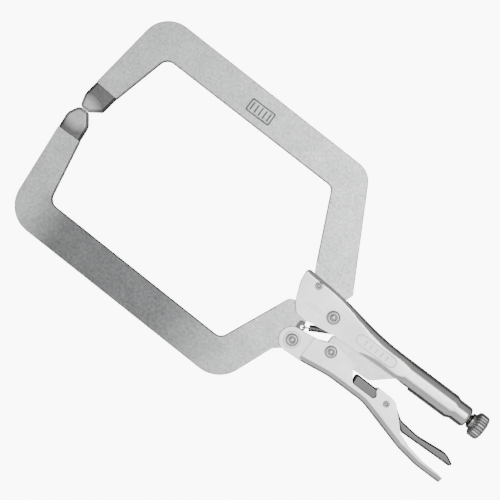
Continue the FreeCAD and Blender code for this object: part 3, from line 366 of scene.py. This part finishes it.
def adjusting_screw():
    start, end = 99.4, 149.0
    steps = int((end - start) / (THREAD_PITCH / 8))
    threaded = [(start + (end - start) * i / steps, THREAD_CREST) for i in range(steps + 1)]
    profile = [(96.3, 0.5), (96.3, 2.3), (96.6, 2.58), (99.2, 2.58), (99.25, 3.9)] + threaded
    profile += [(149.15, 4.0), (149.2, 3.48), (159.6, 3.48), (159.9, 3.2), (159.95, 0.5)]
    piece = lathe("adjusting_screw_threaded", JAW_PIVOT, profile, "X", 48, thread_radius)
    finish_piece(piece, ["adjusting_screw"])
    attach(piece, "adjusting_screw")


def tube(name, points, radius, sides=12):
    """A round wire through the points, with frames carried along it so it doesn't twist."""
    tangents = [(points[min(i + 1, len(points) - 1)] - points[max(i - 1, 0)]).normalized()
                for i in range(len(points))]
    side = tangents[0].orthogonal().normalized()
    rows = []
    for point, tangent in zip(points, tangents):
        side = (side - tangent * side.dot(tangent)).normalized()
        other = tangent.cross(side)
        turns = [2 * math.pi * i / sides for i in range(sides)]
        rows.append([point + (side * math.cos(turn) + other * math.sin(turn)) * radius for turn in turns])
    piece = new_object(name, grid_mesh(name, rows))
    smooth_faces(piece)
    return piece


def spring_path():
    """Hook, lead, coil, lead and hook along the spring's own axis, in mm from the lower arm's ear."""
    reach = math.dist(SPRING_EAR, SPRING_TAB)
    coil = [Vector((COIL_RADIUS * math.cos(a), COIL_RADIUS * math.sin(a),
                    COIL_LEAD + (reach - 2 * COIL_LEAD) * a / (2 * math.pi * COIL_TURNS)))
            for a in (2 * math.pi * i / COIL_STEPS for i in range(4, COIL_STEPS * COIL_TURNS - 3))]

    def corner(lead_end, bend, join):
        return [lead_end * (1 - t) ** 2 + bend * 2 * t * (1 - t) + join * t * t
                for t in (i / 8 for i in range(9))]

    first = [Vector((COIL_RADIUS * math.cos(a), 0, COIL_RADIUS - COIL_RADIUS * math.sin(a)))
             for a in (math.radians(250 - 10 * i) for i in range(26))]
    bend = Vector((COIL_RADIUS, 0, COIL_LEAD))
    first += corner(Vector((COIL_RADIUS, 0, COIL_LEAD - 1.4)), bend, coil[0])[:-1]
    last = [Vector((point.x, -point.y, reach - point.z)) for point in reversed(first)]
    return first + coil + last


def opening_spring():
    points = spring_path()
    along = Vector((SPRING_TAB[0] - SPRING_EAR[0], SPRING_TAB[1] - SPRING_EAR[1], 0)).normalized()
    up = Vector((0, 0, 1))
    across = along.cross(up)
    ear = at(*SPRING_EAR)
    piece = tube("opening_spring_wire", [ear + (up * p.x + across * p.y + along * p.z) * MM for p in points],
                 WIRE_RADIUS * MM)
    finish_piece(piece, ["opening_spring"])
    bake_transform(piece)


# How far each piece's corners are rolled over, in mm.
ROLLS = {
    "upper_arm": 0.55, "lower_arm": 0.55, "upper_jaw_tip": 0.6, "lower_jaw_tip": 0.6, "fixed_handle": 0.6,
    "lower_handle": 0.6, "release_lever": 0.35, "toggle_link": 0.5, "lever_pivot_washers": 0.15,
    "link_washers": 0.15, "screw_nut": 0.15, "screw_thrust_cap": 0.15,
}
for cad_node, roll in ROLLS.items():
    refine(cad_node, roll)

# Each rivet's middle, then in mm: its grip's half, head radius, head height and shank radius.
PIVOTS = {
    "jaw_pivot_rivet": (at(0, 0), 7.32, 6.0, 2.0, 4.0),
    "arm_rivet": (at(-26.5, 14.5), 7.48, 3.3, 1.2, 2.2),
    "lever_pivot_rivet": (at(-17.3, -36.8), 7.8, 5.5, 2.0, 4.0),
    "link_rivet": (at(16.0, -25.0), 8.42, 5.5, 2.0, 4.0),
    "release_rivet": (at(81.5, -32.5), 8.42, 2.9, 1.2, 2.2),
}
for cad_node, (pivot, grip, head, height, shank) in PIVOTS.items():
    rivet(cad_node, pivot, grip, head, height, shank)
adjusting_knob()
adjusting_screw()
opening_spring()


# ---------------------------------------------------------------- floor, light, camera

def area_light(name, location, target, size, power):
    data = bpy.data.lights.new(name, "AREA")
    data.shape = "RECTANGLE"
    data.size, data.size_y = size
    data.energy = power
    lamp = bpy.data.objects.new(name, data)
    lamp.location = location
    lamp.rotation_euler = (Vector(target) - Vector(location)).to_track_quat("-Z", "Y").to_euler()
    bpy.context.scene.collection.objects.link(lamp)


def floor():
    """A plain white floor that glows, so that it comes out near white."""
    bpy.ops.mesh.primitive_plane_add(size=FLOOR_SIZE, location=(0, 0, 0))
    plane = bpy.context.object
    plane.name = "studio_floor"
    material = bpy.data.materials.new("pale_floor")
    material.use_nodes = True
    shader = material.node_tree.nodes["Principled BSDF"]
    shader.inputs["Base Color"].default_value = (0.95, 0.95, 0.95, 1)
    shader.inputs["Roughness"].default_value = 0.9
    shader.inputs["Specular IOR Level"].default_value = 0.1
    shader.inputs["Emission Color"].default_value = (1, 1, 1, 1)
    shader.inputs["Emission Strength"].default_value = FLOOR_GLOW
    plane.data.materials.append(material)
    # Kept out of the metal's reflections, so that the rolled edges stay dark.
    plane.visible_glossy = False


def studio_world():
    """A bright round softbox almost overhead, walls that are lighter on the -Y side, a dark room below."""
    world = bpy.data.worlds.new("studio")
    bpy.context.scene.world = world
    world.use_nodes = True
    tree = world.node_tree
    direction = node(tree, "ShaderNodeTexCoord").outputs["Generated"]
    box = Vector((0.19, 0.10, 1.0)).normalized()
    aim = node(tree, "ShaderNodeVectorMath", {0: direction, 1: box}, operation="DOT_PRODUCT").outputs["Value"]
    glow = ranged(tree, aim, 0.0, 1.9, 0.9, 0.995, smooth=True)
    axes = node(tree, "ShaderNodeSeparateXYZ", {0: direction})
    wall = ranged(tree, axes.outputs["Y"], 0.66, 0.34, -0.7, 0.5)
    above = ranged(tree, axes.outputs["Z"], 0.25, 1.0, -0.25, 0.2, smooth=True)
    level = node(tree, "ShaderNodeMath", {0: glow, 1: product(tree, wall, above)}, operation="ADD").outputs[0]
    background = tree.nodes["Background"]
    tree.links.new(level, background.inputs["Color"])
    background.inputs["Strength"].default_value = 1.0


def camera():
    data = bpy.data.cameras.new("camera")
    data.lens = SENSOR_WIDTH * CAMERA_HEIGHT / VIEW_WIDTH
    data.sensor_width = SENSOR_WIDTH
    eye = bpy.data.objects.new("camera", data)
    eye.location = at(-93.0, 3.7, CAMERA_HEIGHT)
    eye.rotation_euler = (0, 0, math.radians(VIEW_TURN))
    bpy.context.scene.collection.objects.link(eye)
    bpy.context.scene.camera = eye


floor()
studio_world()
area_light("overhead", (0.45, 0.5, 1.9), (0.0, 0.0, 0.0), (0.9, 0.9), 5.0)
camera()

bpy.context.view_layer.update()
